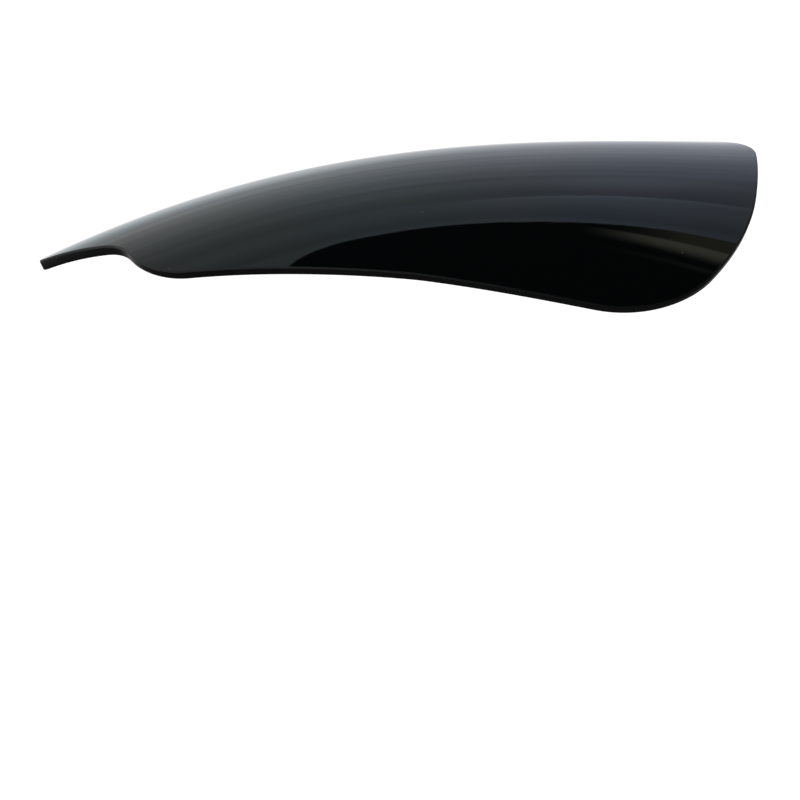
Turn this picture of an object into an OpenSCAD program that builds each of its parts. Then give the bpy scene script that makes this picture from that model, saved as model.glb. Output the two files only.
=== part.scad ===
// Motorcycle hand guard: one sheet, cut flat to an outline and formed over a curved mould.
// The blank is drawn flat, then wrapped: x runs along the mould's guide line, y runs down the sheet.
// Lengths are in millimetres and angles in degrees. The origin is on the inner face of the tongue.

/* [Sheet] */
// Thickness of the sheet
sheet_t = 4.8; // [3:0.1:8]
// Radius that the cut edges are sanded to
arris_r = 0.9; // [0.3:0.1:1.4]

/* [Mould section] */
// Radius over the crest, measured on the outer face
crest_r = 82; // [70:1:140]
// Radius of the flatter skirt below the crest
skirt_r = 183; // [120:1:400]
// Way down the sheet from the guide line to the middle of the change of radius
skirt_start = 40; // [25:1:70]
// Length over which one radius turns into the other
blend_l = 17; // [6:1:40]

/* [Mould guide line] */
// Length of the guide line
guide_l = 323; // [315:1:380]
// Rise of the guide line at the tongue
rise_tongue = 26.4; // [15:0.1:35]
// Rise that bends the tongue half
rise_tongue_half = 17; // [8:0.1:24]
// Rise that bends the wide half
rise_wide_half = -4.4; // [-10:0.1:4]
// Rise at the wide end
rise_wide = -6.4; // [-12:0.1:2]
// Swing of the guide line in plan at the tongue, positive away from the front
swing_tongue = 1.5; // [-10:0.1:10]
// Swing that bends the middle
swing_middle = -13.9; // [-20:0.1:0]
// Swing at the wide end
swing_wide = 27.2; // [10:0.1:40]

/* [Top edge] */
// Way from the top edge down to the guide line, at the tongue
crest_over = 18; // [8:1:40]
// How much further back over the crest the top edge reaches at the wide end
wide_end_over = 8; // [0:0.5:20]
// Place of the square corner at the wide end, before rounding
wide_end_x = 324.7; // [310:0.1:340]
// Radius of that corner
wide_end_r = 26; // [8:0.5:40]

/* [Tongue] */
// Place of the tongue's root along the guide line
tongue_x = 36.6; // [28:0.1:40]
// Width of the tongue at its root
tongue_w = 35.9; // [26:0.1:40]
// Angle between the tongue's lower edge and the top edge
tongue_angle = 37.8; // [30:0.1:45]
// Radius of the tongue's tip
tip_r = 4.7; // [2.5:0.1:7]
// Radius of the hollow where the tongue meets the blade
notch_r = 35; // [15:1:60]

/* [Blade] */
// Place of the shoulder below the notch
shoulder_x = 45.4; // [42:0.1:60]
// Width of the blade at the shoulder's corner
shoulder_w = 64.3; // [52:0.1:75]
// Radius of the shoulder
shoulder_r = 40; // [10:1:50]
// Place of the hip, where the lower edge starts to run straighter
hip_x = 101; // [80:0.5:120]
// Width of the blade at the hip
hip_w = 82.2; // [70:0.1:90]
// Radius of the hip
hip_r = 1300; // [100:50:1500]
// Place of the waist, where the lower edge turns down to the lobe
waist_x = 164; // [140:0.5:200]
// Width of the blade at the waist
waist_w = 98.5; // [92:0.1:106]
// Radius of the waist
waist_r = 190; // [100:10:800]

/* [Lobe] */
// Place of the lobe's corner, before rounding
lobe_x = 259; // [245:0.1:275]
// Width of the blade at the lobe's corner
lobe_w = 127.2; // [115:0.1:140]
// Radius of the lobe
lobe_r = 44.4; // [20:0.1:50]
// Place of the flank, where the wide end bends towards the top edge
flank_x = 293.1; // [285:0.1:305]
// Width of the blade at the flank
flank_w = 85.9; // [60:0.1:95]
// Radius of the flank
flank_r = 145; // [40:5:250]

/* [Fixing pad] */
// Middle of the fixing pad along the guide line
pad_x = 25; // [20:0.5:30]
// Middle of the fixing pad down from the top edge
pad_y = 12.5; // [8:0.5:18]

/* [Hidden] */

// Cross lines over the blank, spans on each line, and spans round each sanded edge
lines_n = 84;
spans_n = 14;
arris_n = 3;
// Share by which the lines crowd towards the tip and the wide end
crowding = 0.6;
// Spacing of the tables that follow the guide line and the section
table_step = 2;
// Length by which those tables run on past the sheet
table_spare = 20;
// Angle between the points of an arc
arc_turn = 4;

shell_colour = [0.03, 0.03, 0.035];

function unit(a) = a / norm(a);

// Blend of three or four values by Bernstein weights, t from 0 to 1
function blend3(a, b, c, t) = a*(1-t)^2 + 2*b*t*(1-t) + c*t^2;
function blend4(a, b, c, d, t) = a*(1-t)^3 + 3*b*t*(1-t)^2 + 3*c*t^2*(1-t) + d*t^3;

// Running total of a list of rows
function running(rows, i = 0, sum = undef, out = []) =
    i == len(rows) ? out
    : let (next = is_undef(sum) ? rows[i] : sum + rows[i])
      running(rows, i + 1, next, concat(out, [next]));

// Guide line: its heading, its frame and its points, by distance s along it
function rise(s) = blend4(rise_tongue, rise_tongue_half, rise_wide_half, rise_wide, s / guide_l);
function swing(s) = blend3(swing_tongue, swing_middle, swing_wide, s / guide_l);
function heading(s) = [cos(rise(s)) * cos(swing(s)), cos(rise(s)) * sin(swing(s)), sin(rise(s))];
function out_side(s) = [sin(swing(s)), -cos(swing(s)), 0];
function up_side(s) = cross(out_side(s), heading(s));

guide_s = [for (s = [-table_spare : table_step : guide_l + table_spare]) s];
guide_steps = [for (s = guide_s) heading(s + table_step / 2) * table_step];
guide_sums = running(guide_steps);
guide_table = [for (k = [0 : 2])
    [for (i = [0 : len(guide_s) - 1]) [guide_s[i] + table_step, guide_sums[i][k]]]];
function guide(s) = [for (k = [0 : 2]) lookup(s, guide_table[k])];

// Mould section: lean of the outer face from the upward frame side, by distance v down the sheet
blend_from = skirt_start - blend_l / 2;
curl_change = 1 / skirt_r - 1 / crest_r;
function blend_share(v) = min(1, max(0, (v - blend_from) / blend_l));
function curl_sum(v) =
    let (f = blend_share(v))
    v / crest_r + curl_change * (blend_l * (f^3 - f^4 / 2) + max(0, v - blend_from - blend_l));
function lean(v) = curl_sum(v) * 180 / PI;

section_v = [for (v = [-crest_over - wide_end_over - table_spare : table_step : lobe_w + table_spare]) v];
section_steps = [for (v = section_v) let (a = lean(v + table_step / 2)) [sin(a), cos(a)] * -table_step];
section_sums = running(section_steps);
section_table = [for (k = [0 : 1])
    [for (i = [0 : len(section_v) - 1]) [section_v[i] + table_step, section_sums[i][k]]]];
section_zero = [for (k = [0 : 1]) lookup(0, section_table[k])];
function section_drop(v) = lookup(v, section_table[0]) - section_zero[0];
function section_reach(v) = section_zero[1] - lookup(v, section_table[1]);

// Outward normal of the formed sheet, and the point at height h over its outer face
function normal(p) =
    let (a = lean(p.y - crest_over))
    out_side(p.x) * sin(a) + up_side(p.x) * cos(a);
function formed(p, h = 0) =
    let (v = p.y - crest_over)
    guide(p.x) + out_side(p.x) * section_reach(v) + up_side(p.x) * section_drop(v) + normal(p) * h;

// Outline of the flat blank: corners with the radius of each, from the tip along the lower edge
corners = [
    [tongue_x - tongue_w / tan(tongue_angle), 0, tip_r],
    [tongue_x, tongue_w, notch_r],
    [shoulder_x, shoulder_w, shoulder_r],
    [hip_x, hip_w, hip_r],
    [waist_x, waist_w, waist_r],
    [lobe_x, lobe_w, lobe_r],
    [flank_x, flank_w, flank_r],
    [wide_end_x, -wide_end_over, wide_end_r],
];
corners_n = len(corners);
function corner(i) = let (c = corners[(i + corners_n) % corners_n]) [c.x, c.y];
function edge(i) = corner(i + 1) - corner(i);
function turn(i) =
    let (a = edge(i - 1), b = edge(i))
    atan2(a.x * b.y - a.y * b.x, a * b);
// Length of edge that a corner's arc takes, shared fairly where two arcs want more than the edge has
function wanted(i) = corners[(i + corners_n) % corners_n].z * tan(abs(turn(i)) / 2);
function fair(i) = min(1, norm(edge(i)) / (wanted(i) + wanted(i + 1)));
function taken(i) = wanted(i) * min(fair(i - 1), fair(i));

// Points of one corner's arc, each with its outward direction
function arc_points(i) =
    let (
        way = turn(i) > 0 ? 1 : -1,
        r = taken(i) / tan(abs(turn(i)) / 2),
        start = corner(i) - unit(edge(i - 1)) * taken(i),
        outward = [-unit(edge(i - 1)).y, unit(edge(i - 1)).x],
        steps = 2 * ceil(abs(turn(i)) / arc_turn / 2) + 2,
        middle = start + outward * way * r
    )
    [for (k = [0 : steps])
        let (a = turn(i) * k / steps, out = [outward.x * cos(a) - outward.y * sin(a),
                                             outward.x * sin(a) + outward.y * cos(a)])
        concat(middle - out * way * r, out)];

// The whole outline twice round, so that either half can be cut from it, with the distance run so far
arcs = [for (i = [0 : corners_n - 1]) arc_points(i)];
once_round = [for (a = arcs) for (p = a) p];
twice_round = concat(once_round, once_round);
hops = [for (i = [0 : len(twice_round) - 1])
    i == 0 ? 0 : norm([for (k = [0 : 1]) twice_round[i][k] - twice_round[i - 1][k]])];
run_so_far = running(hops);
outline_table = [for (k = [0 : 3])
    [for (i = [0 : len(twice_round) - 1]) [run_so_far[i], twice_round[i][k]]]];
// Point of the outline at distance s round it, moved inwards by inset
function outline(s, inset = 0) =
    let (p = [for (k = [0 : 3]) lookup(s, outline_table[k])])
    [p[0], p[1]] - unit([p[2], p[3]]) * inset;

// The outline is halved at the middle of the tip's arc and of the wide corner's arc. Lines lie closer
// together towards both halving points, where the outline turns most.
function eased(t) = t - crowding * sin(360 * t) / (2 * PI);
tip_run = run_so_far[floor(len(arcs[0]) / 2)];
wide_run = run_so_far[len(once_round) - ceil(len(arcs[corners_n - 1]) / 2)];
round_run = run_so_far[len(once_round)];
function lower_run(i) = tip_run + (wide_run - tip_run) * eased(i / lines_n);
function upper_run(i) = tip_run + round_run - (tip_run + round_run - wide_run) * eased(i / lines_n);

// Place on the blank: line i from the tip, span j from the top edge to the lower edge
function on_blank(i, j) =
    let (a = outline(upper_run(i), arris_r), b = outline(lower_run(i), arris_r))
    a + (b - a) * j / spans_n;

// Rings round the cut edge, each an inset and a height: the outer arris, then the inner one
edge_rings = [
    for (k = [1 : arris_n]) let (a = 90 * k / arris_n)
        [arris_r * (1 - sin(a)), -arris_r * (1 - cos(a))],
    for (k = [0 : arris_n - 1]) let (a = 90 * k / arris_n)
        [arris_r * (1 - cos(a)), -sheet_t + arris_r * (1 - sin(a))],
];
rim_n = 2 * lines_n;
function rim_run(k) = k <= lines_n ? lower_run(k) : upper_run(rim_n - k);

// One face is the tip, the inner lines and the wide end; its rim reads the same way round as the rings
face_points_n = (lines_n - 1) * (spans_n + 1) + 2;
function face_index(i, j) =
    i == 0 ? 0
    : i == lines_n ? face_points_n - 1
    : 1 + (i - 1) * (spans_n + 1) + j;
function rim_index(k) = k <= lines_n ? face_index(k, spans_n) : face_index(rim_n - k, 0);
function face_points(h) = [
    formed(on_blank(0, 0), h),
    for (i = [1 : lines_n - 1]) for (j = [0 : spans_n]) formed(on_blank(i, j), h),
    formed(on_blank(lines_n, 0), h),
];
function face_triangles(first) = [
    for (i = [0 : lines_n - 1]) for (j = [0 : spans_n - 1])
        each concat(
            i == 0 ? []
            : [[face_index(i, j), face_index(i, j + 1), face_index(i + 1, j)] + first * [1, 1, 1]],
            i == lines_n - 1 ? []
            : [[face_index(i, j + 1), face_index(i + 1, j + 1), face_index(i + 1, j)] + first * [1, 1, 1]]
        )
];
function flipped(triangles) = [for (t = triangles) [t[0], t[2], t[1]]];

module formed_sheet() {
    ring_points = [for (ring = edge_rings) for (k = [0 : rim_n - 1])
        formed(outline(rim_run(k), ring[0]), ring[1])];
    rings_n = len(edge_rings);
    inner_first = face_points_n + rings_n * rim_n;
    // Level 0 is the outer face's rim, then the rings, then the inner face's rim
    function level(l, k) =
        let (kk = k % rim_n)
        l == 0 ? rim_index(kk)
        : l <= rings_n ? face_points_n + (l - 1) * rim_n + kk
        : inner_first + rim_index(kk);
    wall = [for (l = [0 : rings_n]) for (k = [0 : rim_n - 1])
        each [[level(l, k), level(l + 1, k + 1), level(l, k + 1)],
              [level(l, k), level(l + 1, k), level(l + 1, k + 1)]]];
    polyhedron(
        points = concat(face_points(0), ring_points, face_points(-sheet_t)),
        faces = concat(face_triangles(0), wall, flipped(face_triangles(inner_first)))
    );
}

pad_centre = formed([pad_x, pad_y], -sheet_t);

module guard_shell() {
    color(shell_colour)
        translate(-pad_centre)
            formed_sheet();
}

guard_shell();
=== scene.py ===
# %% [markdown]
# # A formed motorcycle hand guard
# The part is one sheet of black gloss plastic, about 5 mm thick and 305 mm long. It was sawn flat
# to an outline, its edges were sanded, and it was heated and draped over a curved mould.
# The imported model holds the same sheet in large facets. This lesson wraps the sheet again, finely
# enough for a mirror finish, and gives the faces and the cut edge their own materials.

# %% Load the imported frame
import math

import bmesh
import bpy
import numpy as np
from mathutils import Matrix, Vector


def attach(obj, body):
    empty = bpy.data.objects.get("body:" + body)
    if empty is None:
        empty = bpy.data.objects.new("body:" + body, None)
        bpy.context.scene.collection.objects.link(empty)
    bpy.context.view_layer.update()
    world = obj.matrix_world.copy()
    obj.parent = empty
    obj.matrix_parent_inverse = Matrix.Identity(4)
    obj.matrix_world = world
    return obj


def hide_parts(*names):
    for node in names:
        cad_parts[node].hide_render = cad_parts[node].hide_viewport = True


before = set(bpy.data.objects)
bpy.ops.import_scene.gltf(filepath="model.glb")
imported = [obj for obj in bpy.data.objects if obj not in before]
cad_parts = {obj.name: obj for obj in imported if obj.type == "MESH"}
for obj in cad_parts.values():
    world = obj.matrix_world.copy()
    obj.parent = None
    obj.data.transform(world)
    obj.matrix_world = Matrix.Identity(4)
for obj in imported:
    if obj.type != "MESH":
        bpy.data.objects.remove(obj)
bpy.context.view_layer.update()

NODE = "guard_shell"
print("nodes in the packed model:", list(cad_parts))

# %% [markdown]
# ## The mould
# A formed sheet takes the shape of its mould, so the mould is described first. It could be
# sculpted as a surface, but a sweep says the same in a few sizes: a section runs along a guide
# line. The section turns tightly over the crest and is flatter below, as a skirt. The guide line
# rises at the tongue, levels out at the wide end, and swings back at both ends in plan.
# Each angle is a smooth blend of a few values, so no bump or kink can appear in the reflections.

# %% Sizes of the sheet and its mould
MM = 0.001
SHEET_T = 4.8 * MM
ARRIS_R = 0.9 * MM  # rounding of the sanded edges
CREST_R = 82 * MM
SKIRT_R = 183 * MM
SKIRT_START = 40 * MM  # middle of the blend from crest to skirt, down from the crest line
BLEND_L = 17 * MM
GUIDE_L = 323 * MM
CREST_OVER = 18 * MM  # sheet that lies behind the crest line
RISES = np.radians([26.4, 17, -4.4, -6.4])
SWINGS = np.radians([1.5, -13.9, 27.2])
PAD = (25 * MM, 12.5 * MM)  # middle of the fixing pad, where the part has its origin
print(f"sheet {SHEET_T / MM:.1f} mm thick, guide line {GUIDE_L / MM:.0f} mm long")


# %% Guide line and section
def blended(values, t):
    """Blend a few values smoothly, from the first at t = 0 to the last at t = 1."""
    n = len(values) - 1
    return sum(math.comb(n, k) * v * t**k * (1 - t) ** (n - k) for k, v in enumerate(values))


def directions(s):
    """Along the guide line at distance s: its heading, and the outward and upward directions."""
    rise, swing = blended(RISES, s / GUIDE_L), blended(SWINGS, s / GUIDE_L)
    level = np.zeros_like(s)
    heading = [np.cos(rise) * np.cos(swing), np.cos(rise) * np.sin(swing), np.sin(rise)]
    outward = np.stack([np.sin(swing), -np.cos(swing), level], axis=-1)
    heading = np.stack(heading, axis=-1)
    return heading, outward, np.cross(outward, heading)


def lean(v):
    """Angle that the outer face has turned through, at distance v down the sheet."""
    blend_from = SKIRT_START - BLEND_L / 2
    f = np.clip((v - blend_from) / BLEND_L, 0, 1)
    past = np.maximum(0, v - blend_from - BLEND_L)
    return v / CREST_R + (1 / SKIRT_R - 1 / CREST_R) * (BLEND_L * (f**3 - f**4 / 2) + past)


# %% Walk along both
TABLE_STEP = 0.25 * MM
SPARE_L = 20 * MM  # walked beyond each end of the guide line
SECTION_RANGE = (-50 * MM, 160 * MM)


def walked(start, stop, direction):
    """Table of the places reached by following a direction in short steps, from 0 at distance 0."""
    at = np.arange(start, stop, TABLE_STEP)
    steps = direction(at + TABLE_STEP / 2) * TABLE_STEP
    places = np.vstack([np.zeros(steps.shape[1]), np.cumsum(steps, axis=0)])
    at = np.append(at, at[-1] + TABLE_STEP)
    return at, places - [np.interp(0, at, column) for column in places.T]


def place_in(table, at):
    """Rows of such a table at any distances between its own."""
    return np.stack([np.interp(at, table[0], column) for column in table[1].T], axis=-1)


def section_direction(v):
    return np.stack([np.cos(lean(v)), -np.sin(lean(v))], axis=-1)


guide = walked(-SPARE_L, GUIDE_L + SPARE_L, lambda s: directions(s)[0])
section = walked(*SECTION_RANGE, section_direction)
print("guide line ends at, metres:", place_in(guide, GUIDE_L).round(4))


# %% [markdown]
# ## Wrapping the blank
# A place on the flat blank is two lengths: x along the guide line and y down from the top edge.
# Wrapping puts it on the mould, and a height moves it square to the face, so the sheet keeps one
# thickness everywhere. A Solidify modifier could do that too, but its rim can't have a sanded edge.

# %% Wrap a place on the blank
def formed(x, y, height):
    _, outward, upward = directions(x)
    down = y - CREST_OVER
    reach, drop = place_in(section, down).T[..., None]
    tilt = lean(down)[..., None]
    normal = outward * np.sin(tilt) + upward * np.cos(tilt)
    return place_in(guide, x) + outward * reach + upward * drop + normal * height


def one_place(x, y, height):
    return formed(np.array([x]), np.array([y]), height)[0]


origin = one_place(*PAD, -SHEET_T)
guide_start = one_place(0, CREST_OVER, 0) - origin
print("guide line starts at, metres:", guide_start.round(4))

# %% [markdown]
# ## The outline
# The blank is sawn with a jigsaw and sanded, so its outline is straight runs joined by arcs. Eight
# corners, each with its own radius, give the tongue, the hollow beside it, the shoulder, the long
# lower edge, the lobe, the flank and the square end. A curve with handles could follow it as well,
# but corners with radii can be measured on the bench.

# %% Corners of the blank
TONGUE = (36.6 * MM, 35.9 * MM)
TONGUE_ANGLE = math.radians(37.8)
CORNERS = [
    (TONGUE[0] - TONGUE[1] / math.tan(TONGUE_ANGLE), 0, 4.7 * MM),  # tip of the tongue
    (*TONGUE, 35 * MM),  # hollow beside the tongue
    (45.4 * MM, 64.3 * MM, 40 * MM),  # shoulder
    (101 * MM, 82.2 * MM, 1300 * MM),  # hip
    (164 * MM, 98.5 * MM, 190 * MM),  # waist
    (259 * MM, 127.2 * MM, 44.4 * MM),  # lobe
    (293.1 * MM, 85.9 * MM, 145 * MM),  # flank
    (324.7 * MM, -8 * MM, 26 * MM),  # square end
]
print("corners of the blank:", len(CORNERS))

# %% Round the corners
ARC_STEP = math.radians(1.5)


def rounded(corners):
    """Arcs of the rounded outline, one per corner: rows of x, y and the outward direction."""
    places = np.array([c[:2] for c in corners])
    edges = np.roll(places, -1, axis=0) - places
    lengths = np.linalg.norm(edges, axis=1)
    ahead = edges / lengths[:, None]
    before = np.roll(ahead, 1, axis=0)
    turns = np.arctan2(np.cross(before, ahead), (before * ahead).sum(axis=1))
    wanted = np.array([c[2] for c in corners]) * np.tan(abs(turns) / 2)
    fair = np.minimum(1, lengths / (wanted + np.roll(wanted, -1)))
    taken = wanted * np.minimum(fair, np.roll(fair, 1))
    arcs = []
    for place, way, turn, length in zip(places, before, turns, taken):
        radius = length / math.tan(abs(turn) / 2) * math.copysign(1, turn)
        steps = 2 * math.ceil(abs(turn) / ARC_STEP / 2) + 2
        angle = np.linspace(0, turn, steps + 1)
        left = np.array([-way[1], way[0]])
        outward = np.stack([left[0] * np.cos(angle) - left[1] * np.sin(angle),
                            left[0] * np.sin(angle) + left[1] * np.cos(angle)], axis=-1)
        middle = place - way * length + left * radius
        arcs.append(np.hstack([middle - outward * radius, outward]))
    return arcs


arcs = rounded(CORNERS)
print("points on each arc:", [len(arc) for arc in arcs])

# %% Join the arcs, once round from the middle of the tip
half_tip, half_end = len(arcs[0]) // 2, len(arcs[-1]) // 2
once = np.vstack([arcs[0][half_tip:], *arcs[1:], arcs[0][:half_tip + 1]])
outline_run = np.append(0, np.cumsum(np.linalg.norm(np.diff(once[:, :2], axis=0), axis=1)))
outline = (outline_run, once)
end_run = outline_run[len(once) - (half_tip + 1) - len(arcs[-1]) + half_end]
print(f"outline: {len(once)} points, {outline_run[-1]:.3f} m round")

# %% [markdown]
# ## The mesh
# Lines run across the blank from the top edge to the lower edge. Each is carried round the sanded
# lower edge, back over the inner face and round the sanded top edge, so the whole sheet is one
# closed grid, welded where the lines shrink to a point at the tip and at the square end. Cutting
# the outline from a wide grid would work too, but leaves slivers along the cut. Lines and spans lie
# closer together near the edges. That keeps the shading of the wide faces flat right up to the
# small radius, where a reflection would otherwise smear.

# %% Grid over the sheet
LINES, SPANS, ROUNDS = 420, 64, 6
LINE_CROWDING, SPAN_CROWDING = 0.6, 0.93


def eased(t, crowding):
    return t - crowding * np.sin(2 * np.pi * t) / (2 * np.pi)


def on_outline(run, inset):
    x, y, out_x, out_y = place_in(outline, run).T
    size = np.hypot(out_x, out_y)
    return np.stack([x - out_x / size * inset, y - out_y / size * inset], axis=-1)


line_share = eased(np.linspace(0, 1, LINES + 1), LINE_CROWDING)
lower_run = line_share * end_run
upper_run = outline_run[-1] - line_share * (outline_run[-1] - end_run)
spans = [eased(j / SPANS, SPAN_CROWDING) for j in range(SPANS + 1)]
turns = [math.pi / 2 * k / ROUNDS for k in range(1, ROUNDS + 1)]
edge_rings = [(ARRIS_R * (1 - math.sin(a)), -ARRIS_R * (1 - math.cos(a))) for a in turns]
edge_rings += [(inset, -SHEET_T - height) for inset, height in reversed(edge_rings)]


def face_columns(shares, height):
    top, low = on_outline(upper_run, ARRIS_R), on_outline(lower_run, ARRIS_R)
    return [(top + (low - top) * share, height) for share in shares]


def edge_columns(run, rings):
    return [(on_outline(run, inset), height) for inset, height in rings]


columns = face_columns(spans, 0) + edge_columns(lower_run, edge_rings[:-1])
columns += face_columns(spans[::-1], -SHEET_T) + edge_columns(upper_run, edge_rings[-2::-1])
grid = np.stack([formed(*flat.T, height) - origin for flat, height in columns], axis=1)
print("grid of lines and columns:", grid.shape[:2])

# %% Faces between the lines
lines, width = grid.shape[:2]
i, j = np.meshgrid(np.arange(lines - 1), np.arange(width), indexing="ij")
i, j = i.ravel(), j.ravel()
around = (j + 1) % width
quads = np.stack([i * width + j, i * width + around,
                  (i + 1) * width + around, (i + 1) * width + j], axis=-1)
on_edge = (j >= SPANS) & (j < SPANS + len(edge_rings))
on_edge |= j >= 2 * SPANS + len(edge_rings)
print("faces:", len(quads), "of which on the cut edge:", on_edge.sum())

# %% [markdown]
# ## Places for the textures
# Dust and hairlines need a flat place for each point of the sheet. Unwrapping could find one, but
# the blank is such a map already. The cut edge has no width on the blank, so there the map takes
# the run along the edge and the height in the sheet.

# %% Map of the sheet
UV_NAME = "blank"
blank = np.stack([flat for flat, _ in columns], axis=1).reshape(-1, 2)
heights = np.array([height for _, height in columns])
runs = np.stack([np.broadcast_to(lower_run[:, None], (lines, width)),
                 np.broadcast_to(heights, (lines, width))], axis=-1).reshape(-1, 2)
corner_ids = quads.ravel()
uv_places = np.where(np.repeat(on_edge, 4)[:, None], runs[corner_ids], blank[corner_ids])
print("map, metres across:", np.ptp(uv_places, axis=0).round(3))

# %% Build the sheet
FACE, EDGE = 0, 1
WELD = 1e-7


def added(name, data):
    """Object that holds this data, linked to the scene."""
    made = bpy.data.objects.new(name, data)
    bpy.context.scene.collection.objects.link(made)
    return made


def build_sheet(name):
    mesh = bpy.data.meshes.new(name)
    mesh.from_pydata(grid.reshape(-1, 3).tolist(), [], quads.tolist())
    uv = mesh.uv_layers.new(name=UV_NAME).uv
    uv.foreach_set("vector", uv_places.astype(np.float32).ravel())
    mesh.polygons.foreach_set("material_index", np.where(on_edge, EDGE, FACE).astype(np.int32))
    mesh.polygons.foreach_set("use_smooth", np.ones(len(quads), dtype=bool))
    bm = bmesh.new()
    bm.from_mesh(mesh)
    bmesh.ops.remove_doubles(bm, verts=bm.verts, dist=WELD)
    bmesh.ops.recalc_face_normals(bm, faces=bm.faces)
    bm.to_mesh(mesh)
    open_edges = sum(not edge.is_manifold for edge in bm.edges)
    volume = bm.calc_volume() / MM**3 / 1000
    print(f"{name}: {len(bm.faces)} faces, {open_edges} open edges, {volume:.1f} cm3")
    bm.free()
    return mesh


sheet = added("formed_sheet", build_sheet("formed_sheet"))
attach(sheet, "root")
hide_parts(NODE)

# %% [markdown]
# ## The camera
# The guard is looked at from a little above its front. A long lens flattens such a view, and an
# orthographic camera stands in for it. A lens far away would look nearly the same, but its distance
# and focal length would have to be kept in step. Here one scale ties the picture to real lengths,
# and one point, the start of the guide line, ties it to the part.

# %% Camera
PICTURE_SIDE = 800
PX_PER_M = 2350
GUIDE_START_PX = (41.0, 265.3)
ELEVATION = math.radians(15)
CAMERA_DISTANCE = 1.2
CAMERA_FAR = 40

right = np.array([1, 0, 0])
up = np.array([0, math.sin(ELEVATION), math.cos(ELEVATION)])
back = np.array([0, -math.cos(ELEVATION), math.sin(ELEVATION)])
off_right, off_down = [(PICTURE_SIDE / 2 - p) / PX_PER_M for p in GUIDE_START_PX]
target = guide_start + right * off_right - up * off_down

camera_data = bpy.data.cameras.new("camera")
camera_data.type = "ORTHO"
camera_data.ortho_scale = PICTURE_SIDE / PX_PER_M
camera_data.clip_end = CAMERA_FAR
camera = added("camera", camera_data)
camera.location = target + back * CAMERA_DISTANCE
camera.rotation_euler = (math.pi / 2 - ELEVATION, 0, 0)
bpy.context.scene.camera = camera
print("camera aims at, metres:", target.round(4))


# %% [markdown]
# ## Helpers for nodes
# A finish is a chain of small sums. Nodes could be placed by hand in the editor, but writing each
# sum as one call keeps the chain readable: a call adds a node, sets or links its inputs, and gives
# back its output.

# %% Sums
def feed(tree, socket, value):
    if isinstance(value, bpy.types.NodeSocket):
        tree.links.new(value, socket)
    else:
        socket.default_value = value


def calc(tree, operation, *values):
    node = tree.nodes.new("ShaderNodeMath")
    node.operation = operation
    for socket, value in zip(node.inputs, values):
        feed(tree, socket, value)
    return node.outputs[0]


def product(tree, first, *others):
    for value in others:
        first = calc(tree, "MULTIPLY", first, value)
    return first


def ramped(tree, value, low, high, to_low=0.0, to_high=1.0):
    """Ease a value from one range into another, smoothly at both ends."""
    node = tree.nodes.new("ShaderNodeMapRange")
    node.interpolation_type = "SMOOTHSTEP"
    for socket, given in zip(node.inputs[:5], (value, low, high, to_low, to_high)):
        feed(tree, socket, given)
    return node.outputs[0]


# %% Vectors, colours and noise
def combined(tree, *values):
    node = tree.nodes.new("ShaderNodeCombineXYZ")
    for socket, value in zip(node.inputs, values):
        feed(tree, socket, value)
    return node.outputs[0]


def parted(tree, vector):
    node = tree.nodes.new("ShaderNodeSeparateXYZ")
    feed(tree, node.inputs[0], vector)
    return node.outputs


def distance(tree, across, along):
    """Length of the way given by two offsets."""
    node = tree.nodes.new("ShaderNodeVectorMath")
    node.operation = "LENGTH"
    feed(tree, node.inputs[0], combined(tree, across, along))
    return node.outputs["Value"]


def mixed(tree, share, first, second, blend="MIX"):
    node = tree.nodes.new("ShaderNodeMix")
    node.data_type = "RGBA"
    node.blend_type = blend
    for name, value in (("Factor_Float", share), ("A_Color", first), ("B_Color", second)):
        feed(tree, next(s for s in node.inputs if s.identifier == name), value)
    return next(s for s in node.outputs if s.identifier == "Result_Color")


def noise(tree, vector, scale, detail):
    node = tree.nodes.new("ShaderNodeTexNoise")
    for name, value in (("Vector", vector), ("Scale", scale), ("Detail", detail)):
        feed(tree, node.inputs[name], value)
    return node.outputs["Fac"]


# %% Node groups
def new_group(name, inputs, outputs):
    """Node group with named inputs and outputs; gives the tree, its input and its output node."""
    group = bpy.data.node_groups.new(name, "ShaderNodeTree")
    for label, value in inputs.items():
        socket = group.interface.new_socket(label, in_out="INPUT", socket_type="NodeSocketFloat")
        socket.default_value = value
    for label in outputs:
        group.interface.new_socket(label, in_out="OUTPUT", socket_type="NodeSocketFloat")
    ends = group.nodes.new("NodeGroupInput"), group.nodes.new("NodeGroupOutput")
    print(f"{name}: {', '.join(inputs)} in, {', '.join(outputs)} out")
    return group, ends[0].outputs, ends[1].inputs


def blank_place(tree):
    """Place on the flat blank, from the map of the sheet."""
    node = tree.nodes.new("ShaderNodeUVMap")
    node.uv_map = UV_NAME
    return node.outputs["UV"]


# %% [markdown]
# ## Dust
# A black mirror shows every speck. Dust settles as single bright points, far apart and of uneven
# size. Painting them by hand would take long, so they come from a pattern of cells: each cell holds
# one point, and only a few cells by chance keep theirs.

# %% Dust specks
SIZE_SPREAD, SIZE_LEAST = 0.7, 0.4

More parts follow.
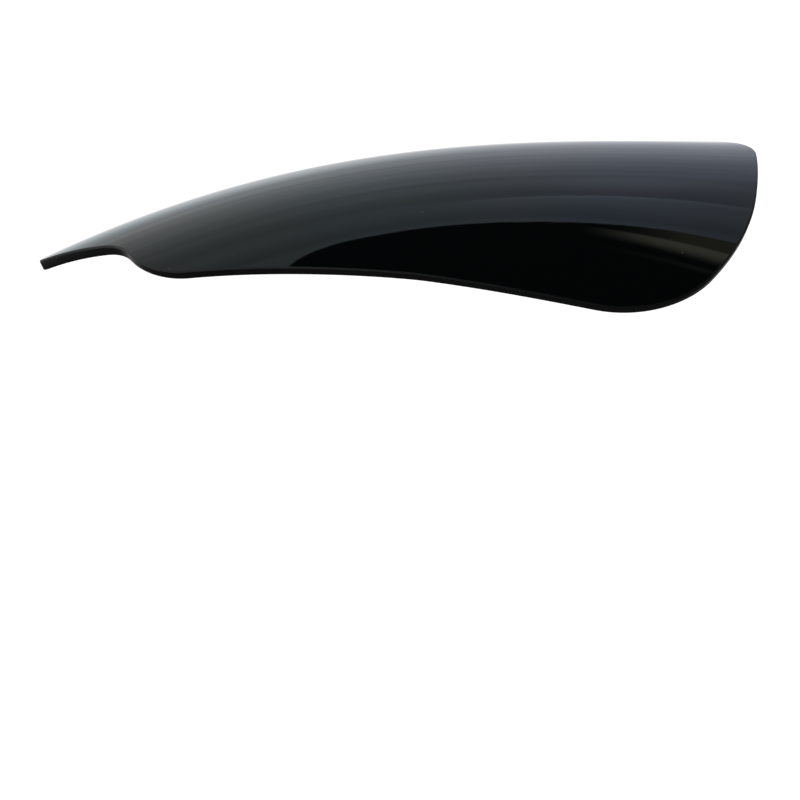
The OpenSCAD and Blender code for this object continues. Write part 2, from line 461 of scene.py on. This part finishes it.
dust_group, dust_in, dust_out = new_group(
    "dust specks", {"Spacing": 12 * MM, "Speck Size": 0.3 * MM, "Kept Share": 0.2}, ["Mask"])
cells = dust_group.nodes.new("ShaderNodeTexVoronoi")
cells.voronoi_dimensions = "2D"
feed(dust_group, cells.inputs["Vector"], blank_place(dust_group))
feed(dust_group, cells.inputs["Scale"], calc(dust_group, "DIVIDE", 1.0, dust_in["Spacing"]))
chance = dust_group.nodes.new("ShaderNodeSeparateColor")
feed(dust_group, chance.inputs[0], cells.outputs["Color"])
kept = calc(dust_group, "LESS_THAN", chance.outputs[0], dust_in["Kept Share"])
uneven = calc(dust_group, "MULTIPLY_ADD", chance.outputs[1], SIZE_SPREAD, SIZE_LEAST)
speck_reach = product(dust_group, dust_in["Speck Size"], uneven)
away = product(dust_group, cells.outputs["Distance"], dust_in["Spacing"])
speck = ramped(dust_group, away, 0.0, speck_reach, 1.0, 0.0)
feed(dust_group, dust_out["Mask"], product(dust_group, speck, kept))

# %% [markdown]
# ## Waves and rubbing
# Heat-formed sheet is never perfectly flat: it keeps slow shallow waves that make the
# reflections drift a little. Cloths and gloves leave a faint haze and hairlines on top. A carved
# mesh could hold them, but they are far finer than its faces. Both are noise, stretched along the
# sheet for the hairlines.

# %% Surface wear
HAIR_STRETCH = (0.03, 1.0, 1.0)
HAIR_RANGE = (0.5, 0.8)  # noise between these two turns into a hairline
HAZE_RANGE, HAZE_SHARE = (0.35, 0.7), 0.5
WAVE_DETAIL, HAIR_DETAIL = 1.0, 3.0

wear_group, wear_in, wear_out = new_group(
    "waves and rubbing",
    {"Wave Length": 50 * MM, "Wave Share": 1.0,
     "Hairline Width": 0.5 * MM, "Hairline Share": 0.2},
    ["Height", "Haze"])
stretch = wear_group.nodes.new("ShaderNodeVectorMath")
stretch.operation = "MULTIPLY"
feed(wear_group, stretch.inputs[0], blank_place(wear_group))
feed(wear_group, stretch.inputs[1], HAIR_STRETCH)
waves = noise(wear_group, wear_group.nodes.new("ShaderNodeTexCoord").outputs["Object"],
              calc(wear_group, "DIVIDE", 1.0, wear_in["Wave Length"]), WAVE_DETAIL)
hairs = noise(wear_group, stretch.outputs[0],
              calc(wear_group, "DIVIDE", 1.0, wear_in["Hairline Width"]), HAIR_DETAIL)
hairs = product(wear_group, ramped(wear_group, hairs, *HAIR_RANGE), wear_in["Hairline Share"])
height = calc(wear_group, "MULTIPLY_ADD", waves, wear_in["Wave Share"], hairs)
feed(wear_group, wear_out["Height"], height)
haze = ramped(wear_group, waves, *HAZE_RANGE)
feed(wear_group, wear_out["Haze"], calc(wear_group, "MULTIPLY_ADD", haze, HAZE_SHARE, hairs))


# %% [markdown]
# ## Two finishes of one plastic
# The faces keep the gloss of the cast sheet: a black that takes in nearly all light, under a
# clear mirror with the refraction of acrylic. The cut edge was sanded and left, so it is the same
# black with a satin scatter and fine marks along its run. One material with a mask could hold
# both, but two are easier to change. Both use the same dust and wear groups with their own values.

# %% One plastic with its finish
ACRYLIC_IOR = 1.49
DUST_GREY = (0.16, 0.16, 0.15, 1.0)
DUST_ROUGHNESS = 0.5


def placed(tree, group, values):
    node = tree.nodes.new("ShaderNodeGroup")
    node.node_tree = group
    for label, value in values.items():
        node.inputs[label].default_value = value
    return node.outputs


def plastic(name, black, roughness, haze_gain, bump_height, dust, wear):
    material = bpy.data.materials.new(name)
    material.use_nodes = True
    tree = material.node_tree
    shader = tree.nodes["Principled BSDF"]
    shader.inputs["IOR"].default_value = ACRYLIC_IOR
    specks = placed(tree, dust_group, dust)["Mask"]
    worn = placed(tree, wear_group, wear)
    feed(tree, shader.inputs["Base Color"], mixed(tree, specks, black, DUST_GREY))
    dull = calc(tree, "MULTIPLY_ADD", worn["Haze"], haze_gain, roughness)
    dull = calc(tree, "MULTIPLY_ADD", specks, DUST_ROUGHNESS, dull)
    feed(tree, shader.inputs["Roughness"], dull)
    bump = tree.nodes.new("ShaderNodeBump")
    bump.inputs["Distance"].default_value = bump_height
    feed(tree, bump.inputs["Height"], worn["Height"])
    feed(tree, shader.inputs["Normal"], bump.outputs[0])
    return material


# %% Gloss faces and sanded edge
gloss = plastic(
    "gloss_black_face", black=(0.0004, 0.0005, 0.0006, 1.0),
    roughness=0.02, haze_gain=0.012, bump_height=0.03 * MM,
    dust={"Spacing": 14 * MM, "Speck Size": 0.3 * MM, "Kept Share": 0.09},
    wear={"Wave Length": 60 * MM, "Wave Share": 1.0,
          "Hairline Width": 0.5 * MM, "Hairline Share": 0.02})
sanded = plastic(
    "sanded_black_edge", black=(0.0025, 0.0025, 0.0028, 1.0),
    roughness=0.34, haze_gain=0.16, bump_height=0.02 * MM,
    dust={"Spacing": 6 * MM, "Speck Size": 0.2 * MM, "Kept Share": 0.15},
    wear={"Wave Length": 20 * MM, "Wave Share": 0.3,
          "Hairline Width": 0.25 * MM, "Hairline Share": 0.8})
sheet.data.materials.append(gloss)
sheet.data.materials.append(sanded)
print("materials:", [m.name for m in sheet.data.materials])

# %% [markdown]
# ## The floor
# The guard is shown on white with nothing beside it. The floor lies well below, so its shadow
# falls under the picture. A plain white floor would light up the lower edges in the mirror, so
# only the camera sees it bright all over. In the mirror it is bright behind the part and to its
# left, and carries painted shade in front and to the right, which keeps the lower edges black.

# %% Floor
FLOOR_Z = -0.45
FLOOR_SIDE = 24.0

half = FLOOR_SIDE / 2
floor_corners = [(x * half, y * half, FLOOR_Z) for x, y in ((-1, -1), (1, -1), (1, 1), (-1, 1))]
floor_mesh = bpy.data.meshes.new("floor")
floor_mesh.from_pydata(floor_corners, [], [(0, 1, 2, 3)])
floor = added("floor", floor_mesh)

# %% Paint of the floor, with painted shade in the mirror
WHITE = (1.0, 1.0, 1.0, 1.0)
LIT_BEHIND = (0.3, 1.6)  # metres over which the mirrored floor turns bright
LIT_LEFT = (0.6, 2.0)
# The dark paint and the dark glow are painted shade, which only glossy rays see.
PALE_PAINT, PAINTED_SHADE_COLOUR = (0.5, 0.5, 0.5, 1.0), (0.01, 0.01, 0.01, 1.0)
PAINTED_SHADE_GLOW = (0.06, 0.06, 0.062, 1.0)
GLOW_STRENGTH = 0.7

floor_paint = bpy.data.materials.new("pale_floor")
floor_paint.use_nodes = True
tree = floor_paint.node_tree
tree.nodes.remove(tree.nodes["Principled BSDF"])
path = tree.nodes.new("ShaderNodeLightPath").outputs
seen = calc(tree, "MAXIMUM", path["Is Camera Ray"], path["Is Glossy Ray"])
seen = calc(tree, "MAXIMUM", seen, path["Is Transmission Ray"])
spot = parted(tree, tree.nodes.new("ShaderNodeNewGeometry").outputs["Position"])
lit = calc(tree, "MAXIMUM", ramped(tree, spot["Y"], *LIT_BEHIND),
           ramped(tree, product(tree, spot["X"], -1.0), *LIT_LEFT))
# Painted shade: glossy rays see the floor dark in front of the part and to its right.
shade = product(tree, calc(tree, "SUBTRACT", 1.0, lit), path["Is Glossy Ray"])
diffuse = tree.nodes.new("ShaderNodeBsdfDiffuse")
feed(tree, diffuse.inputs["Color"], mixed(tree, shade, PALE_PAINT, PAINTED_SHADE_COLOUR))
bright = tree.nodes.new("ShaderNodeEmission")
feed(tree, bright.inputs["Color"], mixed(tree, shade, WHITE, PAINTED_SHADE_GLOW))
feed(tree, bright.inputs["Strength"], product(tree, seen, GLOW_STRENGTH))
both = tree.nodes.new("ShaderNodeAddShader")
feed(tree, both.inputs[0], diffuse.outputs[0])
feed(tree, both.inputs[1], bright.outputs[0])
feed(tree, tree.nodes["Material Output"].inputs["Surface"], both.outputs[0])
floor_mesh.materials.append(floor_paint)
print("floor paint:", floor_paint.name, "with", len(tree.nodes), "nodes")

# %% [markdown]
# ## What the gloss mirrors
# A black mirror has no colour of its own: its look is the room. Here the room is a white sweep
# that starts at the horizon behind the guard and darkens as it climbs, then a slightly paler
# strip, then a large black card overhead, and a warm grey wall past the card's right end. Each
# could be a lit plane, but a plane close by shifts in the mirror, so the room is drawn by
# direction in the world instead. Two angles place everything: the climb from the back horizon,
# and the angle to the side.

# %% Directions of the room
world = bpy.data.worlds.new("studio")
world.use_nodes = True
bpy.context.scene.world = world
tree = world.node_tree
ray = parted(tree, tree.nodes.new("ShaderNodeTexCoord").outputs["Generated"])
climb = calc(tree, "DEGREES", calc(tree, "ARCTAN2", ray["Z"], ray["Y"]))
side = calc(tree, "DEGREES", calc(tree, "ARCSINE", ray["X"]))
print("world:", world.name, "placed by climb and side, in degrees")

# %% [markdown]
# ## The white sweep
# A sweep is a sheet of pale paper that hangs down behind the part and curves onto the table. It is
# bright where the lamps reach it, duller higher up, warm at its left end and cool to the right.
# A gradient between two ends would be too plain, so three colour ramps hold it: one has the
# brightness at each climb, and two have the tints.

# %% Levels and tints of the sweep
SWEEP = {0: 0.95, 5: 0.9, 16: 0.93, 25: 1.01, 34: 0.98, 42: 0.96, 50: 0.88, 56: 0.77, 60: 0.81,
         66: 0.65, 69: 0.59, 72: 0.65, 74: 0.64, 76: 0.56, 78: 0.49, 79.2: 0.49, 80.4: 0.58}
CLIMB_TINT = {0: (0.95, 1.0, 1.09), 40: (0.91, 1.0, 1.14), 80: (0.82, 1.0, 1.15)}
SIDE_TINT = {-28: (0.86, 0.82, 0.7), -17: (0.9, 0.9, 0.81), -10: (0.95, 0.99, 0.95),
             0: (0.99, 0.98, 0.98), 8: (0.81, 0.83, 0.92), 15: (0.82, 0.82, 0.89),
             20: (0.77, 0.75, 0.78), 25: (0.72, 0.7, 0.74), 34: (0.3, 0.3, 0.3),
             50: (0.05, 0.05, 0.05)}
SWEEP_RANGE, TINT_RANGE, SIDE_RANGE = (0, 120), (0, 80), (-60, 60)


def colour_stops(tree, value, low, high, stops):
    """Colour ramp over a range of degrees, with its stops given in rising order."""
    share = tree.nodes.new("ShaderNodeMapRange")
    for socket, given in zip(share.inputs[:3], (value, low, high)):
        feed(tree, socket, given)
    node = tree.nodes.new("ShaderNodeValToRGB")
    feed(tree, node.inputs[0], share.outputs[0])
    elements = node.color_ramp.elements
    for k, (place, colour) in enumerate(stops.items()):
        position = (place - low) / (high - low)
        element = elements[k] if k < 2 else elements.new(position)
        element.position = position
        element.color = (*colour, 1.0)
    return node.outputs[0]


greys = {angle: (level, level, level) for angle, level in SWEEP.items()}
sweep = colour_stops(tree, climb, *SWEEP_RANGE, greys)
for angle, span, tint in ((climb, TINT_RANGE, CLIMB_TINT), (side, SIDE_RANGE, SIDE_TINT)):
    sweep = mixed(tree, 1.0, sweep, colour_stops(tree, angle, *span, tint), "MULTIPLY")
print("sweep:", len(SWEEP), "levels,", len(CLIMB_TINT) + len(SIDE_TINT), "tints")

# %% [markdown]
# ## Soft patches and brush marks
# No sweep is evenly lit, and an even one would make the sheet look like clean glass. Three soft
# oval patches stand for light that spills onto it, and long faint brush marks, warm and cool, run
# over it. Lamps close to a plane could throw such patches, but would light the guard as well.

# %% Patches of light
# Side and its reach, climb and its reach, in degrees, and the colour at the middle.
PATCHES = [
    (-6.0, 8.0, 7.0, 14.0, (0.28, 0.3, 0.27)),
    (8.0, 9.0, 60.0, 17.0, (0.18, 0.18, 0.19)),
    (-13.0, 12.0, 29.0, 22.0, (0.065, 0.03, 0.0)),
]

for side_at, side_reach, climb_at, climb_reach, colour in PATCHES:
    off_side = calc(tree, "DIVIDE", calc(tree, "SUBTRACT", side, side_at), side_reach)
    off_climb = calc(tree, "DIVIDE", calc(tree, "SUBTRACT", climb, climb_at), climb_reach)
    share = ramped(tree, distance(tree, off_side, off_climb), 0.0, 1.0, 1.0, 0.0)
    sweep = mixed(tree, share, sweep, (*colour, 1.0), "ADD")
print("patches of light:", len(PATCHES))

# %% Brush marks
# From here on, a row of four is two angles and the values that a ramp has at them.
MARK_SIDE, MARK_CLIMB = 0.03, 0.3  # noise per degree: the marks are ten times as long as wide
MARK_STRENGTH = (52.0, 68.0, 0.45, 0.0)
WARMTH_STRENGTH = 0.12
NOISE_MIDDLE = 0.5

brush_place = combined(tree, product(tree, side, MARK_SIDE), product(tree, climb, MARK_CLIMB))


def brush_marks(scale, detail, strength):
    marks = calc(tree, "SUBTRACT", noise(tree, brush_place, scale, detail), NOISE_MIDDLE)
    return product(tree, marks, strength)


brushed = brush_marks(1.0, 4.0, ramped(tree, climb, *MARK_STRENGTH))
warmth = brush_marks(1.7, 3.0, WARMTH_STRENGTH)
print("brush marks fade out at a climb of", MARK_STRENGTH[1])

# %% [markdown]
# ## A paler strip
# Between the sweep and the card the mirror shows a slightly paler strip with a thin brighter rim.
# It is sharp at the right and fades out to the left, and it leans. A stop on the ramp could make it
# paler but couldn't lean, so it has sums of its own.

# %% Strip
STRIP_FROM, STRIP_SLOPE = 71.15, 0.14
STRIP_SOFT = (-14.0, 2.0, 1.8, 0.12)
STRIP_LEFT = (-9.0, 9.0, 0.0, 0.34)
STRIP_RIGHT = (11.0, 18.0, 1.0, 0.55)
STRIP_FADE = (0.5, 5.5, 1.0, 0.5)
RIM_LEFT = (-6.0, 8.0, 0.0, 0.3)
RIM_FADE = (0.2, 2.2, 1.0, 0.0)

in_strip = calc(tree, "MULTIPLY_ADD", side, STRIP_SLOPE, climb)
in_strip = calc(tree, "SUBTRACT", in_strip, STRIP_FROM)
strip_soft = ramped(tree, side, *STRIP_SOFT)
strip_edge = ramped(tree, in_strip, product(tree, strip_soft, -1.0), strip_soft)
strip_body = product(tree, ramped(tree, side, *STRIP_LEFT), ramped(tree, side, *STRIP_RIGHT),
                     ramped(tree, in_strip, *STRIP_FADE))
strip_rim = product(tree, ramped(tree, side, *RIM_LEFT), ramped(tree, in_strip, *RIM_FADE))
strip = product(tree, strip_edge, calc(tree, "ADD", strip_body, strip_rim))
print("strip starts at a climb of", STRIP_FROM)

# %% Marks and strip on the sweep
gain = calc(tree, "ADD", calc(tree, "ADD", brushed, strip), 1.0)
gains = combined(tree, calc(tree, "ADD", gain, warmth), gain, calc(tree, "SUBTRACT", gain, warmth))
sweep = mixed(tree, 1.0, sweep, gains, "MULTIPLY")
print("nodes in the room so far:", len(tree.nodes))

# %% [markdown]
# ## The black card
# A black card hangs over the part. Its edge, mirrored, is the crisp line along the front face, and
# everything below that line is black. Its left corner is rounded. The distance from the corner's
# middle draws the round, as a compass would. A cut plane could do it, but needs a place in space.

# %% Card
CARD_LEFT = -19.4
CARD_CORNER = 6.4
CARD_SOFT = 0.15
CARD_FROM = (-9.0, 3.0, 80.65, 81.0)
CARD_BEND, CARD_BEND_SLOPE = 15.0, 0.14

past_bend = calc(tree, "MAXIMUM", calc(tree, "SUBTRACT", side, CARD_BEND), 0.0)
card_from = calc(tree, "MULTIPLY_ADD", past_bend, CARD_BEND_SLOPE, ramped(tree, side, *CARD_FROM))
off_side = calc(tree, "MAXIMUM", calc(tree, "SUBTRACT", CARD_LEFT + CARD_CORNER, side), 0.0)
off_climb = calc(tree, "SUBTRACT", calc(tree, "ADD", card_from, CARD_CORNER), climb)
off_climb = calc(tree, "MAXIMUM", off_climb, 0.0)
card = ramped(tree, distance(tree, off_side, off_climb),
              CARD_CORNER - CARD_SOFT, CARD_CORNER + CARD_SOFT, 1.0, 0.0)
print("card starts at a climb of", CARD_FROM[3], "with a corner of", CARD_CORNER)

# %% [markdown]
# ## The wall past the card
# At the right end the mirror shows a warm grey wall beyond the card, bright at its lower edge and
# fading upwards, with a second faint line above it and olive gloom below it. A photograph wrapped
# round the room would hold all this, but three leaning bands are enough.

# %% Wall
WALL_FROM, WALL_SLOPE = 79.75, 0.293
WALL_DEPTH, WALL_DEPTH_SLOPE = 2.1, 0.15
WALL_FULL_SHARE = 0.2  # share of the depth before the wall starts to fade
WALL_EDGE = (-0.25, 0.35)
WALL_SIDES = (7.0, 16.5)
GLOOM_SIDES = (9.5, 19.0)
LINE_FROM, LINE_SLOPE = 84.8, 0.4
LINE_PROFILE = (0.0, 1.3, 0.12, 0.0)
LINE_SIDES = (7.0, 22.0)

past = calc(tree, "SUBTRACT", climb, calc(tree, "MULTIPLY_ADD", side, WALL_SLOPE, WALL_FROM))
wall_depth = calc(tree, "MULTIPLY_ADD", side, WALL_DEPTH_SLOPE, WALL_DEPTH)
wall_full = product(tree, wall_depth, WALL_FULL_SHARE)
wall_edge = ramped(tree, past, *WALL_EDGE)
wall = product(tree, wall_edge, ramped(tree, past, wall_full, wall_depth, 1.0, 0.0),
               ramped(tree, side, *WALL_SIDES))
gloom = product(tree, calc(tree, "SUBTRACT", 1.0, wall_edge), ramped(tree, side, *GLOOM_SIDES))
off_line = calc(tree, "SUBTRACT", climb, calc(tree, "MULTIPLY_ADD", side, LINE_SLOPE, LINE_FROM))
line = product(tree, ramped(tree, calc(tree, "ABSOLUTE", off_line), *LINE_PROFILE),
               ramped(tree, side, *LINE_SIDES))
print("wall shows from a side of", WALL_SIDES[0])

# %% Put the room together
BLACK = (0.016, 0.022, 0.022, 1.0)
OLIVE = (0.2, 0.21, 0.15, 1.0)
WARM_GREY = (0.54, 0.56, 0.43, 1.0)

overhead = mixed(tree, gloom, BLACK, OLIVE)
overhead = mixed(tree, calc(tree, "MAXIMUM", wall, line), overhead, WARM_GREY)
room = mixed(tree, card, sweep, overhead)
print("nodes in the room:", len(tree.nodes))

# %% [markdown]
# ## Light
# The camera sees white, the gloss mirrors the room, and everything else is lit by an even pale
# sky with one large soft lamp. A small lamp would throw a hard shadow. The lamp is kept out of the
# mirror, where it would draw a bright patch that the real part doesn't show.

# %% World and lamp
SKY = (0.75, 0.75, 0.76, 1.0)
LAMP_WATTS = 16
LAMP_SIDE = 1.2
LAMP_PLACE = (-0.5, -0.7, 1.5)

path = tree.nodes.new("ShaderNodeLightPath").outputs
sky = mixed(tree, path["Is Glossy Ray"], SKY, room)
direct = calc(tree, "MAXIMUM", path["Is Camera Ray"], path["Is Transmission Ray"])
feed(tree, tree.nodes["Background"].inputs["Color"], mixed(tree, direct, sky, WHITE))

lamp_data = bpy.data.lights.new("soft_lamp", "AREA")
lamp_data.energy = LAMP_WATTS
lamp_data.size = LAMP_SIDE
lamp = added("soft_lamp", lamp_data)
lamp.location = LAMP_PLACE
aim = Vector(target) - lamp.location
lamp.rotation_euler = aim.to_track_quat("-Z", "Y").to_euler()
lamp.visible_glossy = False
bpy.context.scene.view_settings.view_transform = "Standard"
print("lamp, metres from the part:", round(aim.length, 2))
